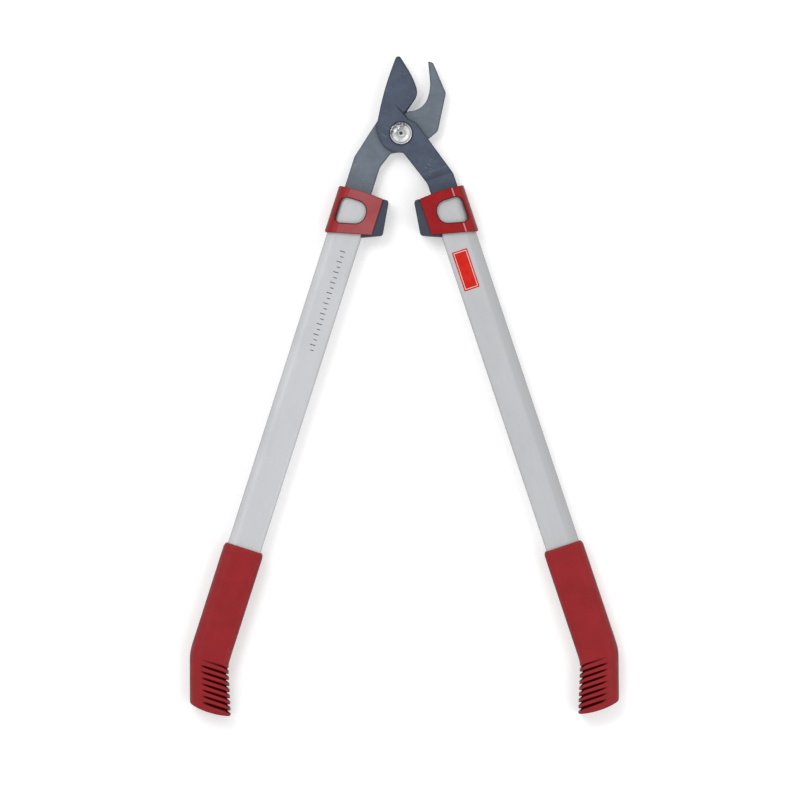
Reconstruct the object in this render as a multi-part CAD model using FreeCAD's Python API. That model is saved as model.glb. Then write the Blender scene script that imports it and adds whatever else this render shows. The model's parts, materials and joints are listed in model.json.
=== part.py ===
import FreeCAD, Part
import math
import os

# Long-handled bypass shears, in millimetres.
#
# Each half is drawn in its own handle frame: the pivot is the origin, the handle runs towards -Y, +X is
# outwards, away from the other handle, and Z = 0 is the middle of the tube's height. The right half is
# then turned outwards about the pivot, and the left half is mirrored first.
# In the finished frame +Y points to the blades, +X to the right-hand handle and +Z up along the pivot.
# The origin is the centre of the bottom of the bounding box.

# Driving dimensions
HANDLE_ANGLE = 18.1        # each handle from the axis of symmetry, degrees
STOP_ANGLE = 7.6           # each buffer face from its own handle's axis, degrees

PLATE = 4.2                # thickness of both blade plates
PLATE_GAP = 0.1            # running gap between the two plates
GRIND_START = (2.8, 27.5)  # the ground face starts along the line through these two points
GRIND_END = (9.0, 57.0)
STEP_END = (10.3, 10.0)    # it stops at a sloping step from GRIND_START to here, in front of the pivot
STEP_SLOPE = 55.0          # steepness of that step, degrees
WIDEST_POINT = (26.8, 38.5)
GROUND_EDGE = 1.0          # thickness left by the ground face at the widest point of the cutting edge
EDGE_LAND = 0.3            # thickness left by the final bevel
EDGE_BEVEL = 60.0          # steepness of the final bevel, degrees
BLADE_TIP = (20.7, 71.8)

BOLT_RADIUS = 5.0
RUNNING_CLEARANCE = 0.05   # radial clearance of the hook blade on the bolt
HEAD_RADIUS = 10.0
HEAD_RIM_HEIGHT = 1.2
HEAD_DOME_HEIGHT = 3.2
HEAD_DOME_RADIUS = 8.6
HEAD_DIMPLE_RADIUS = 2.6
HEAD_DIMPLE_DEPTH = 1.5
BOLT_CHAMFER = 0.7
WASHER_RADIUS = 11.0
WASHER_THICKNESS = 0.8
NUT_FLATS = 16.0
NUT_HEIGHT = 4.2
SPRING_WASHER_RADIUS = 9.0
SPRING_WASHER_THICKNESS = 0.7
SPRING_WASHER_SPLIT = 1.2

TUBE_X = 21.1              # centre line of the tube from the handle's axis
TUBE_WIDTH = 31.5
TUBE_HEIGHT = 17.0
TUBE_WALL = 1.6
TUBE_CORNER = 3.2
TUBE_TOP = -64.4
TUBE_END = -500.0

TANG_END = -150.0
TANG_SHOULDER = -63.4      # below this, under the collar, the tang is narrow enough for the tube
TANG_OUTER_X = 33.4
TANG_CORNER = 4.0
JOGGLE_TOP = -42.0         # the cutting blade's arm steps down to the hook blade's level between these
JOGGLE_BOTTOM = -50.0
JOGGLE_RADIUS = 6.0
LINER_FIT = 0.1
PIN_RADIUS = 2.4
PIN_X = 21.3
PIN_YS = (-68.4, -99.3)

REST_HALF_HEIGHT = 11.4    # collars and grips lie on one plane at this distance below the tube's middle

COLLAR_OUTER_X = 39.5
COLLAR_INNER_X = -3.1
COLLAR_CORNER = 1.6
COLLAR_TOP = -62.8
COLLAR_SLOT_X = (8.3, 34.5)
COLLAR_SLOT_FIT = 0.1
WINDOW_RIM = 1.5
WINDOW_RIM_HALF_HEIGHT = 10.5

BUFFER_TOP = -62.7
BUFFER_BOTTOM = -94.9
BUFFER_HALF_HEIGHT = 9.1
BUFFER_EDGE_RADIUS = 1.2

GRIP_TOP = -407.0
GRIP_INNER_X = 2.4
GRIP_OUTER_X = 39.8
GRIP_CORNER = 5.5
GRIP_BEND_Y = -505.5
GRIP_BEND_ANGLE = 17.9
GRIP_BEND_RADIUS = 30.0
GRIP_END = -560.8
GRIP_END_MIDDLE_X = 6.0    # the end edge is an arc that is lowest here
GRIP_END_HALF_CHORD = 46.0
GRIP_END_SAG = 15.8
GRIP_END_RADIUS = 2.0
GRIP_TAIL = 80.0           # more than the straight length below the bend
PALM_TOP = -514.0          # where the ribbed palm side leaves the line of the tube
PALM_ANGLE = 20.6

CORE_TOP = -465.0
CORE_INNER_X = 10.5
CORE_END_WALL = 4.0
CORE_CORNER = 2.0

RIB_COUNT = 8
RIB_PITCH = 5.25
RIB_FIRST_Y = -518.2
RIB_GROOVE_RADIUS = 1.4
RIB_GROOVE_LENGTH = 27.0
RIB_GROOVE_DEPTH = 0.3     # from each face to the axis of a groove, at the inner edge

LABEL_BOX = ((9.4, -156.6), (24.0, -119.3))
LABEL_THICKNESS = 0.25
LABEL_CORNER = 0.8

CUT_DEPTH = 20.0           # cutting shapes reach this far above and below the tube's middle


def vec(x, y, z=0.0):
    return FreeCAD.Vector(x, y, z)


Z_AXIS = vec(0, 0, 1)
ORIGIN = vec(0, 0, 0)


# Shared shape helpers

def rounded_face(corners):
    """Flat face inside a polygon whose corners (x, y, radius) are rounded by tangent arcs."""
    count = len(corners)
    starts = []
    middles = []
    ends = []
    for index, (x, y, radius) in enumerate(corners):
        corner = vec(x, y)
        to_last = (vec(*corners[index - 1][:2]) - corner).normalize()
        to_next = (vec(*corners[(index + 1) % count][:2]) - corner).normalize()
        half_turn = (math.pi - to_last.getAngle(to_next)) / 2
        tangent = radius * math.tan(half_turn)
        inward = (to_last + to_next).normalize()
        starts.append(corner + to_last * tangent)
        ends.append(corner + to_next * tangent)
        middles.append(corner + inward * (radius / math.cos(half_turn) - radius))
    edges = []
    for index in range(count):
        if corners[index][2] > 0:
            edges.append(Part.Arc(starts[index], middles[index], ends[index]).toShape())
        following = starts[(index + 1) % count]
        if ends[index].distanceToPoint(following) > 1e-5:
            edges.append(Part.makeLine(ends[index], following))
    return Part.Face(Part.Wire(Part.__sortEdges__(edges)))


def plate_between(corners, z_low, z_high):
    """Upright prism on a rounded outline."""
    face = rounded_face(corners)
    face.translate(vec(0, 0, z_low))
    return face.extrude(vec(0, 0, z_high - z_low))


def cross_section(corners, y):
    """Face across the handle at one y, drawn as (x, z, radius)."""
    face = rounded_face(corners)
    face.rotate(ORIGIN, vec(1, 0, 0), 90)
    face.translate(vec(0, y, 0))
    return face


def d_section(x_inner, x_outer, half_height, corner, y):
    """Section with a flat inner side, flat faces and a half-round outer side."""
    return cross_section([
        (x_inner, -half_height, corner),
        (x_outer, -half_height, half_height),
        (x_outer, half_height, half_height),
        (x_inner, half_height, corner),
    ], y)


def run_down(face, y_end):
    """Prism from a cross section down to y_end."""
    return face.extrude(vec(0, y_end - face.CenterOfMass.y, 0))


def upright_pin(radius, x, y, z_low, z_high):
    return Part.makeCylinder(radius, z_high - z_low, vec(x, y, z_low), Z_AXIS)


def through_pin(radius, x, y):
    return upright_pin(radius, x, y, -CUT_DEPTH, CUT_DEPTH)


def turned(profile):
    """Solid of revolution about Z from an outline of (radius, z, rounding)."""
    face = rounded_face(profile)
    face.rotate(ORIGIN, vec(1, 0, 0), 90)
    return face.revolve(ORIGIN, Z_AXIS, 360)


def place(shape, side):
    """Move a shape from its handle frame to its half of the shears."""
    if side == "left":
        shape = shape.mirror(ORIGIN, vec(1, 0, 0))
        shape.rotate(ORIGIN, Z_AXIS, -HANDLE_ANGLE)
    else:
        shape.rotate(ORIGIN, Z_AXIS, HANDLE_ANGLE)
    return shape


# Blades

PLATE_OFFSET = (PLATE + PLATE_GAP) / 2
TANG_Z = -PLATE_OFFSET     # both tangs lie at the level of the hook blade
PLATE_REACH = 90.0         # further than any point of either plate from the handle's axis


def joggled_band():
    """Band of plate that steps from the cutting blade's level down to the level of the tangs."""
    half = PLATE / 2
    side = [
        (PLATE_REACH, PLATE_OFFSET + half, 0),
        (JOGGLE_TOP, PLATE_OFFSET + half, JOGGLE_RADIUS),
        (JOGGLE_BOTTOM, TANG_Z + half, JOGGLE_RADIUS),
        (TANG_END, TANG_Z + half, 0),
        (TANG_END, TANG_Z - half, 0),
        (JOGGLE_BOTTOM, TANG_Z - half, JOGGLE_RADIUS),
        (JOGGLE_TOP, PLATE_OFFSET - half, JOGGLE_RADIUS),
        (PLATE_REACH, PLATE_OFFSET - half, 0),
    ]
    face = rounded_face(side)
    face.rotate(ORIGIN, vec(1, 1, 1), 120)
    face.translate(vec(-PLATE_REACH, 0, 0))
    return face.extrude(vec(2 * PLATE_REACH, 0, 0))


def prism(points, direction):
    """Solid swept straight along a direction from a flat polygon."""
    return Part.Face(Part.makePolygon(points + points[:1])).extrude(direction)


def ground_wedge():
    """Space above the ground face, which falls from a line along the blade to its cutting edge."""
    top_z = PLATE_GAP / 2 + PLATE
    grind_start = vec(*GRIND_START)
    along = (vec(*GRIND_END) - grind_start).normalize()
    across = vec(along.y, -along.x)
    slope = (PLATE - GROUND_EDGE) / (vec(*WIDEST_POINT) - grind_start).dot(across)
    width = 40.0
    lead = 30.0
    tail = 60.0
    start = grind_start - along * lead + vec(0, 0, top_z)
    wedge = prism([
        start,
        start + across * width - vec(0, 0, width * slope),
        start + across * width + vec(0, 0, 1),
        start + vec(0, 0, 1),
    ], along * (lead + tail))
    return wedge.cut(unground_side(top_z))


def unground_side(top_z):
    """The pivot's side of the step, whose wall slopes outwards and down to the ground face."""
    start = vec(*GRIND_START)
    end = vec(*STEP_END)
    upright_part = prism([
        start,
        end,
        vec(PLATE_REACH, end.y),
        vec(PLATE_REACH, -PLATE_REACH),
        vec(-PLATE_REACH, -PLATE_REACH),
        vec(-PLATE_REACH, start.y),
    ], vec(0, 0, CUT_DEPTH))
    step = (end - start).normalize()
    outwards = vec(-step.y, step.x)
    reach = PLATE / math.tan(math.radians(STEP_SLOPE))
    overrun = 10.0
    before = start - step * overrun + vec(0, 0, top_z)
    sloping_wall = prism([
        before,
        before + outwards * reach - vec(0, 0, PLATE),
        before - vec(0, 0, PLATE),
    ], step * ((end - start).Length + 2 * overrun))
    return upright_part.fuse(sloping_wall)


def sides_moved_in(corners, distances):
    """Corners after each side, from one corner to the next, is moved inwards by its own distance."""
    count = len(corners)
    moved = []
    for index, (x, y, radius) in enumerate(corners):
        corner = vec(x, y)
        before = (corner - vec(*corners[index - 1][:2])).normalize()
        after = (vec(*corners[(index + 1) % count][:2]) - corner).normalize()
        before_shift = distances[index - 1]
        after_shift = distances[index]
        turn = before.x * after.y - before.y * after.x
        new = corner + before * (-after_shift / turn) + after * (before_shift / turn)
        moved.append((new.x, new.y, radius - min(before_shift, after_shift)))
    return moved


def tang_outline(inner_x, arm_outer_x):
    """Corners of a tang, which is narrower below its shoulder than the arm above it."""
    return [
        (inner_x, TANG_END, TANG_CORNER),
        (TANG_OUTER_X, TANG_END, TANG_CORNER),
        (TANG_OUTER_X, TANG_SHOULDER, 0),
        (arm_outer_x, TANG_SHOULDER, 0),
    ]


def make_cutting_blade():
    outline = [
        (*BLADE_TIP, 2.85),
        (-2.2, 42.8, 260),
        (-20.6, 11.3, 8),
        (-20.6, -11.2, 19),
        (-3.7, -17.6, 3),
        (8.5, -51.5, 16),
        *tang_outline(8.5, 34.1),
        (34.1, -50.0, 8),
        (16.2, 5.4, 8),
        (10.0, 10.7, 1.2),
        (9.0, 15.6, 1.0),
        (26.9, 29.1, 13.5),
        (26.8, 45.6, 72),
    ]
    plate = plate_between(outline, -CUT_DEPTH, CUT_DEPTH).common(joggled_band())
    hole = through_pin(BOLT_RADIUS, 0, 0)
    blade = plate.cut(hole).cut(ground_wedge()).cut(pin_holes())
    return blade.cut(edge_bevel(outline))


def edge_bevel(outline):
    """Space outside the final bevel, which runs along the three sides of the cutting edge."""
    low = PLATE_GAP / 2 + EDGE_LAND
    height = PLATE - EDGE_LAND
    inset = height / math.tan(math.radians(EDGE_BEVEL))
    first_cutting_side = len(outline) - 3
    distances = [inset if side >= first_cutting_side else 0 for side in range(len(outline))]
    bottom = rounded_face(outline).OuterWire
    top = rounded_face(sides_moved_in(outline, distances)).OuterWire
    bottom.translate(vec(0, 0, low))
    top.translate(vec(0, 0, low + height))
    inside = Part.makeLoft([bottom, top], True, True)
    corner = vec(5, 13, low)
    past_tip = vec(45, BLADE_TIP[1] + 10)
    around_edge = Part.makeBox(past_tip.x - corner.x, past_tip.y - corner.y, height, corner)
    return around_edge.cut(inside)


def make_hook_blade():
    outline = [
        (-3.4, 71.0, 0.9),
        (-8.3, 71.0, 3),
        (-28.1, 47.9, 6),
        (-31.7, 12.4, 6),
        (-17.2, -10.5, 16),
        (3.4, -20.6, 4),
        (8.9, -35.6, 14),
        *tang_outline(8.9, 34.3),
        (34.3, -33.3, 10),
        (22.2, 11.9, 18),
        (-13.4, 27.0, 18),
        (-13.4, 48.1, 40),
    ]
    plate = plate_between(outline, -PLATE_OFFSET - PLATE / 2, -PLATE_OFFSET + PLATE / 2)
    hole = through_pin(BOLT_RADIUS + RUNNING_CLEARANCE, 0, 0)
    return plate.cut(hole).cut(pin_holes())


# Pivot

def make_pivot_bolt():
    seat = PLATE_GAP / 2 + PLATE + WASHER_THICKNESS
    dome = seat + HEAD_DOME_HEIGHT
    rim = seat + HEAD_RIM_HEIGHT
    end = pivot_nut_bottom() - 0.4
    return turned([
        (0, dome - HEAD_DIMPLE_DEPTH, 0),
        (0.9, dome - HEAD_DIMPLE_DEPTH, 0.5),
        (HEAD_DIMPLE_RADIUS, dome, 0.6),
        (HEAD_DOME_RADIUS - 2.0, dome - 0.3, 7),
        (HEAD_DOME_RADIUS, rim, 0.4),
        (HEAD_RADIUS, rim, 0.6),
        (HEAD_RADIUS, seat, 0),
        (BOLT_RADIUS, seat, 0),
        (BOLT_RADIUS, end + BOLT_CHAMFER, 0),
        (BOLT_RADIUS - BOLT_CHAMFER, end, 0),
        (0, end, 0),
    ])


def pivot_nut_bottom():
    return nut_washer_bottom() - NUT_HEIGHT


def nut_washer_bottom():
    return -PLATE_GAP / 2 - PLATE - RUNNING_CLEARANCE - SPRING_WASHER_THICKNESS


def ring(outer, inner, z_low, z_high, rounding):
    return turned([
        (inner, z_low, 0),
        (outer, z_low, rounding),
        (outer, z_high, rounding),
        (inner, z_high, 0),
    ])


def make_spring_washer():
    """Ring with a slanting split."""
    low = nut_washer_bottom()
    washer = ring(SPRING_WASHER_RADIUS, BOLT_RADIUS, low, low + SPRING_WASHER_THICKNESS, 0.2)
    slant = 20.0
    position = 25.0
    corner = vec(BOLT_RADIUS / 2, -SPRING_WASHER_SPLIT / 2, low - 0.5)
    split = Part.makeBox(SPRING_WASHER_RADIUS, SPRING_WASHER_SPLIT, SPRING_WASHER_THICKNESS + 1.3, corner)
    split.rotate(vec(0, 0, low), vec(1, 0, 0), slant)
    split.rotate(ORIGIN, Z_AXIS, position)
    return washer.cut(split)


def make_lock_nut():
    low = pivot_nut_bottom()
    corner_radius = NUT_FLATS / 2 / math.cos(math.pi / 6)
    corners = [
        vec(
            corner_radius * math.cos(math.radians(60 * step)),
            corner_radius * math.sin(math.radians(60 * step)),
            low,
        )
        for step in range(6)
    ]
    hexagon = prism(corners, vec(0, 0, NUT_HEIGHT))
    chamfered = turned([
        (BOLT_RADIUS, low, 0),
        (NUT_FLATS / 2, low, 0),
        (corner_radius + 0.5, low + 0.8, 0),
        (corner_radius + 0.5, low + NUT_HEIGHT, 0),
        (BOLT_RADIUS, low + NUT_HEIGHT, 0),
    ])
    return hexagon.common(chamfered)


# Handle tube and what joins it to the tang

def tube_inner_x():
    return TUBE_X - TUBE_WIDTH / 2


def tube_outer_x():
    return TUBE_X + TUBE_WIDTH / 2


def tube_section(inset, y):
    """Section of the tube's outside, or of a surface lying inset below it."""
    return d_section(
        tube_inner_x() + inset,
        tube_outer_x() - inset,
        TUBE_HEIGHT / 2 - inset,
        TUBE_CORNER - inset / 2,
        y,
    )


def pin_holes():
    holes = [through_pin(PIN_RADIUS, PIN_X, y) for y in PIN_YS]
    return holes[0].fuse(holes[1])


def make_tube():
    outside = run_down(tube_section(0, TUBE_TOP), TUBE_END)
    inside = run_down(tube_section(TUBE_WALL, TUBE_TOP), TUBE_END)
    return outside.cut(inside).cut(pin_holes())


def make_tang_liner(front):
    """Plastic packing that fills the tube above or below the flat tang."""
    packing = run_down(tube_section(TUBE_WALL + LINER_FIT, TUBE_TOP), TANG_END)
    z_low = TANG_Z + PLATE / 2 if front else TANG_Z - PLATE / 2 - CUT_DEPTH
    one_side = Part.makeBox(2 * TUBE_WIDTH, -TANG_END, CUT_DEPTH, vec(0, TANG_END, z_low))
    return packing.common(one_side).cut(pin_holes())


def make_tang_pins():
    half = TUBE_HEIGHT / 2
    return Part.makeCompound([upright_pin(PIN_RADIUS, PIN_X, y, -half, half) for y in PIN_YS])


# Collar with its window, and the buffer in its inner side

def buffer_face_x(y):
    """Buffer face: a plane through the pivot's axis, so that the two buffers close flat together."""
    return y * math.tan(math.radians(STOP_ANGLE))


def buffer_block():
    pocket_top = BUFFER_TOP - 2.4
    pocket_bottom = -102.5
    outline = [
        (buffer_face_x(BUFFER_TOP), BUFFER_TOP, 2.6),
        (buffer_face_x(BUFFER_BOTTOM), BUFFER_BOTTOM, 3.2),
        (tube_inner_x(), pocket_bottom, 0),
        (tube_inner_x(), pocket_top, 0),
        (COLLAR_INNER_X, pocket_top, 0),
        (COLLAR_INNER_X, BUFFER_TOP, 0.8),
    ]
    return plate_between(outline, -BUFFER_HALF_HEIGHT, BUFFER_HALF_HEIGHT)


def make_buffer():
    block = buffer_block()
    outside_collar_x = -7.0
    rounded = []
    for edge in block.Edges:
        middle = edge.CenterOfMass
        on_a_face = abs(abs(middle.z) - BUFFER_HALF_HEIGHT) < 0.01
        if on_a_face and middle.x < outside_collar_x:
            rounded.append(edge)
    return block.makeFillet(BUFFER_EDGE_RADIUS, rounded)


def window_outline(margin):
    """Opening in the collar's faces, or a line at a margin round it."""
    return [
        (33.5 + margin, -71.4 + margin, 6 + margin),
        (8.3 - margin, -71.4 + margin, 9.3 + margin),
        (8.3 - margin, -90.3 - margin * 0.78, 9.6 + margin),
        (33.5 + margin, -96.8 - margin * 1.3, 4.3 + margin),
    ]


def make_collar():
    outline = [
        (COLLAR_OUTER_X, COLLAR_TOP - 0.4, 1.8),
        ((COLLAR_OUTER_X + COLLAR_INNER_X) / 2, COLLAR_TOP + 1.4, 160),
        (COLLAR_INNER_X, COLLAR_TOP, 1.2),
        (COLLAR_INNER_X, -97.6, 1.2),
        (COLLAR_OUTER_X, -108.0, 1.5),
    ]
    body = plate_between(outline, -CUT_DEPTH, CUT_DEPTH)
    above = COLLAR_TOP + 8
    below = -120.0
    section = d_section(COLLAR_INNER_X, COLLAR_OUTER_X, REST_HALF_HEIGHT, COLLAR_CORNER, above)
    body = body.common(run_down(section, below))
    rim_height = WINDOW_RIM_HALF_HEIGHT
    body = body.fuse(plate_between(window_outline(WINDOW_RIM), -rim_height, rim_height))
    body = body.cut(run_down(tube_section(0, TUBE_TOP), below))
    body = body.cut(buffer_block())
    body = body.cut(plate_between(window_outline(0), -CUT_DEPTH, CUT_DEPTH))
    return body.cut(collar_slot())


def collar_slot():
    """Opening in the collar's top, where the flat arm goes into the tube."""
    width = COLLAR_SLOT_X[1] - COLLAR_SLOT_X[0]
    height = PLATE + 2 * COLLAR_SLOT_FIT
    bottom = TUBE_TOP - 5
    depth = COLLAR_TOP + 12 - bottom
    return Part.makeBox(width, depth, height, vec(COLLAR_SLOT_X[0], bottom, TANG_Z - height / 2))


# Grip, bent inwards at its lower end

def bend_centre():
    return vec(TUBE_X - GRIP_BEND_RADIUS, GRIP_BEND_Y, 0)


def bent_run(section, tail):
    """Solid that follows the tube's axis down from a section, then bends inwards for a straight tail."""
    straight = run_down(section, GRIP_BEND_Y)
    bend_start = section.copy()
    bend_start.translate(vec(0, GRIP_BEND_Y - section.CenterOfMass.y, 0))
    bend = bend_start.revolve(bend_centre(), Z_AXIS, -GRIP_BEND_ANGLE)
    tail_start = bend_start.copy()
    tail_start.rotate(bend_centre(), Z_AXIS, -GRIP_BEND_ANGLE)
    angle = math.radians(GRIP_BEND_ANGLE)
    tail_run = tail_start.extrude(vec(-math.sin(angle), -math.cos(angle)) * tail)
    return straight.fuse(bend).fuse(tail_run).removeSplitter()


def above_end(inset):
    """Space above the grip's gently curved end edge, or above a parallel edge lying inset within it."""
    corner_y = GRIP_END + GRIP_END_SAG + inset
    above_grip = GRIP_TOP + 15
    left = vec(GRIP_END_MIDDLE_X - GRIP_END_HALF_CHORD, corner_y)
    middle = vec(GRIP_END_MIDDLE_X, GRIP_END + inset)
    right = vec(GRIP_END_MIDDLE_X + GRIP_END_HALF_CHORD, corner_y)
    top_right = vec(right.x, above_grip)
    top_left = vec(left.x, above_grip)
    edges = [
        Part.Arc(left, middle, right).toShape(),
        Part.makeLine(right, top_right),
        Part.makeLine(top_right, top_left),
        Part.makeLine(top_left, left),
    ]
    face = Part.Face(Part.Wire(edges))
    face.translate(vec(0, 0, -CUT_DEPTH))
    return face.extrude(vec(0, 0, 2 * CUT_DEPTH))


def palm_side():
    """Space outwards of the grip's inner side, which bends a little later and more than the outer side."""
    reach = 150.0
    past_outer_x = GRIP_OUTER_X + 50
    section = cross_section([
        (GRIP_INNER_X, -REST_HALF_HEIGHT, GRIP_CORNER),
        (past_outer_x, -REST_HALF_HEIGHT, 0),
        (past_outer_x, REST_HALF_HEIGHT, 0),
        (GRIP_INNER_X, REST_HALF_HEIGHT, GRIP_CORNER),
    ], GRIP_TOP + 5)
    half_angle = math.radians(PALM_ANGLE / 2)
    corner = vec(GRIP_INNER_X, PALM_TOP, 0)
    downwards = vec(-math.sin(half_angle), -math.cos(half_angle))
    mitre = vec(math.cos(half_angle), -math.sin(half_angle)) * reach
    lift = vec(0, 0, -CUT_DEPTH)
    below_mitre = prism([
        corner - mitre + lift,
        corner + mitre + lift,
        corner + mitre + downwards * reach + lift,
        corner - mitre + downwards * reach + lift,
    ], vec(0, 0, 2 * CUT_DEPTH))
    upper = run_down(section, GRIP_END - 15).cut(below_mitre)
    return upper.fuse(upper.mirror(corner, downwards))


def make_grip_core():
    """Hard core: a plug in the tube that carries the bent end of the soft grip."""
    half_height = TUBE_HEIGHT / 2 - TUBE_WALL - LINER_FIT
    outer_x = tube_outer_x() - TUBE_WALL - LINER_FIT
    section = d_section(CORE_INNER_X, outer_x, half_height, CORE_CORNER, CORE_TOP)
    return bent_run(section, GRIP_TAIL).common(above_end(CORE_END_WALL))


def palm_edge_x(y):
    """Inner edge of the grip below its bend, at one y."""
    return GRIP_INNER_X + (y - PALM_TOP) * math.tan(math.radians(PALM_ANGLE))


def rib_grooves():
    """Grooves across both faces, fading out before the outer side, and round the inner edge."""
    lead = 4.0
    climb = (RIB_GROOVE_RADIUS + RIB_GROOVE_DEPTH) / (RIB_GROOVE_LENGTH + lead)
    run = RIB_GROOVE_LENGTH + 3 * lead
    cutters = []
    for step in range(RIB_COUNT):
        y = RIB_FIRST_Y - step * RIB_PITCH
        edge_x = palm_edge_x(y)
        for face_sign in (1, -1):
            start = vec(edge_x - lead, y, face_sign * (REST_HALF_HEIGHT - RIB_GROOVE_DEPTH))
            direction = vec(run, 0, face_sign * climb * run)
            cutters.append(Part.makeCylinder(RIB_GROOVE_RADIUS, direction.Length, start, direction))
        cutters.append(through_pin(RIB_GROOVE_RADIUS + 0.1, edge_x + 0.3, y))
    return cutters


def make_grip():
    section = d_section(bend_centre().x + 1, GRIP_OUTER_X, REST_HALF_HEIGHT, 0, GRIP_TOP)
    outside = bent_run(section, GRIP_TAIL).common(above_end(0)).common(palm_side())
    end_edge_top = GRIP_END + 4.5
    ends = [
        edge for edge in outside.Edges
        if edge.BoundBox.YMin > GRIP_TOP - 0.01 or edge.BoundBox.YMax < end_edge_top
    ]
    outside = outside.makeFillet(GRIP_END_RADIUS, ends)
    hollow = run_down(tube_section(0, GRIP_TOP + 5), TUBE_END).fuse(make_grip_core())
    return outside.cut(hollow).cut(rib_grooves())


def make_label():
    (x_low, y_low), (x_high, y_high) = LABEL_BOX
    corners = [(x_low, y_low), (x_high, y_low), (x_high, y_high), (x_low, y_high)]
    outline = [(x, y, LABEL_CORNER) for x, y in corners]
    return plate_between(outline, TUBE_HEIGHT / 2, TUBE_HEIGHT / 2 + LABEL_THICKNESS)


# Assembly

def handle_parts(side):
    makers = {
        "tube": make_tube,
        "collar": make_collar,
        "buffer": make_buffer,
        "tang_liner_front": lambda: make_tang_liner(True),
        "tang_liner_back": lambda: make_tang_liner(False),
        "tang_pins": make_tang_pins,
        "grip": make_grip,
        "grip_core": make_grip_core,
    }
    return {side + "_" + name: place(make(), side) for name, make in makers.items()}


def pivot_parts():
    seat = PLATE_GAP / 2 + PLATE
    return {
        "pivot_bolt": make_pivot_bolt(),
        "pivot_head_washer": ring(WASHER_RADIUS, BOLT_RADIUS, seat, seat + WASHER_THICKNESS, 0.25),
        "pivot_spring_washer": make_spring_washer(),
        "pivot_lock_nut": make_lock_nut(),
    }


def build():
    """All the nodes, in the finished frame."""
    nodes = {
        "cutting_blade": place(make_cutting_blade(), "right"),
        "hook_blade": place(make_hook_blade(), "left"),
    }
    nodes.update(pivot_parts())
    nodes.update(handle_parts("right"))
    nodes.update(handle_parts("left"))
    nodes["right_label"] = place(make_label(), "right")
    box = Part.makeCompound(list(nodes.values())).optimalBoundingBox(False)
    to_origin = vec(-box.Center.x, -box.Center.y, REST_HALF_HEIGHT)
    for shape in nodes.values():
        shape.translate(to_origin)
    return nodes


def main():
    os.makedirs("parts", exist_ok=True)
    for name, shape in build().items():
        shape.exportStep("parts/" + name + ".step")
        box = shape.optimalBoundingBox(False)
        print(f"{name}: {shape.Volume:.0f} mm3, solids {len(shape.Solids)}, valid {shape.isValid()},"
              f" z {box.ZMin:.2f} to {box.ZMax:.2f}")


main()
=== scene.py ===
import json
import math

import bmesh
import bpy
from mathutils import Matrix, Vector


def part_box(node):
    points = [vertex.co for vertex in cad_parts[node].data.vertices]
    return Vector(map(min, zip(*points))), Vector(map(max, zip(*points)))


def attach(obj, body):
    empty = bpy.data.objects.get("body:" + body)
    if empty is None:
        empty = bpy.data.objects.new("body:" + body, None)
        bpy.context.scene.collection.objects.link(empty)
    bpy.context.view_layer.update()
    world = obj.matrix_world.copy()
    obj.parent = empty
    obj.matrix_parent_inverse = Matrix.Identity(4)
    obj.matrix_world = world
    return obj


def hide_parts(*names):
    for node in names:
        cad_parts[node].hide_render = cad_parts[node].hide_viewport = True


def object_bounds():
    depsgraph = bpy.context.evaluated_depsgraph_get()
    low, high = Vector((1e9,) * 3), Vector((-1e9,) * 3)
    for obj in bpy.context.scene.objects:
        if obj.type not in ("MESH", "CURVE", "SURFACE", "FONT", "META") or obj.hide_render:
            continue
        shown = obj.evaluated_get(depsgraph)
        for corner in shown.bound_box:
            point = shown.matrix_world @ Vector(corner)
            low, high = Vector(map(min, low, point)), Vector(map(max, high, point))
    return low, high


# Long-handled bypass shears. Every length in a handle's own frame is in millimetres: the pivot is its
# origin, the handle runs towards -Y, +X is outwards, away from the other handle, and Z = 0 is the middle
# of the tube. handle_matrix() turns that frame into the row frame, which is in metres.

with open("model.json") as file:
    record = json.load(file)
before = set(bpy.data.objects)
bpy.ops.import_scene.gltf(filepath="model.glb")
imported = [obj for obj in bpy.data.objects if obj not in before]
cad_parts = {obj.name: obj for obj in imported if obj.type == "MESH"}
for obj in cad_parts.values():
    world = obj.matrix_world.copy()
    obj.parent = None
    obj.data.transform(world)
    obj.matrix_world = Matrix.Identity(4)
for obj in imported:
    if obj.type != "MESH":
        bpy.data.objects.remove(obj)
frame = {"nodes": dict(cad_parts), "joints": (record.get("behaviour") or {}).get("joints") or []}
cad_low, cad_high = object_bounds()

MM = 0.001
SIDES = ("right", "left")
BODY_OF_SIDE = {"right": "blade_side", "left": "hook_side"}
PIVOT = Vector(frame["joints"][0]["pos_m"])


# The frame's own measures

TANG_PIN_RADIUS = 2.4


def find_handle_angle():
    """The angle of a handle from the axis of symmetry: its two tang pins lie along it."""
    pin_radius = TANG_PIN_RADIUS * MM
    low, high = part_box("right_tang_pins")
    across = high.x - low.x - 2 * pin_radius
    along = high.y - low.y - 2 * pin_radius
    return math.atan2(across, along)


HANDLE_ANGLE = find_handle_angle()


def handle_matrix(side):
    """From a handle's own frame to the row frame."""
    mirror = -1 if side == "left" else 1
    turn = Matrix.Rotation(mirror * HANDLE_ANGLE, 4, "Z")
    scale = Matrix.Diagonal((mirror * MM, MM, MM, 1))
    return Matrix.Translation(PIVOT) @ turn @ scale


def handle_box(node):
    """Lowest and highest corner of a CAD node in its handle's own frame."""
    side = node.split("_")[0]
    to_handle = handle_matrix(side).inverted()
    points = [to_handle @ vertex.co for vertex in frame["nodes"][node].data.vertices]
    low = Vector([min(point[axis] for point in points) for axis in range(3)])
    high = Vector([max(point[axis] for point in points) for axis in range(3)])
    return low, high


TUBE_LOW, TUBE_HIGH = handle_box("right_tube")
GRIP_LOW, GRIP_HIGH = handle_box("right_grip")
LABEL_LOW, LABEL_HIGH = handle_box("right_label")
COLLAR_LOW, COLLAR_HIGH = handle_box("right_collar")


# Materials

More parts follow.
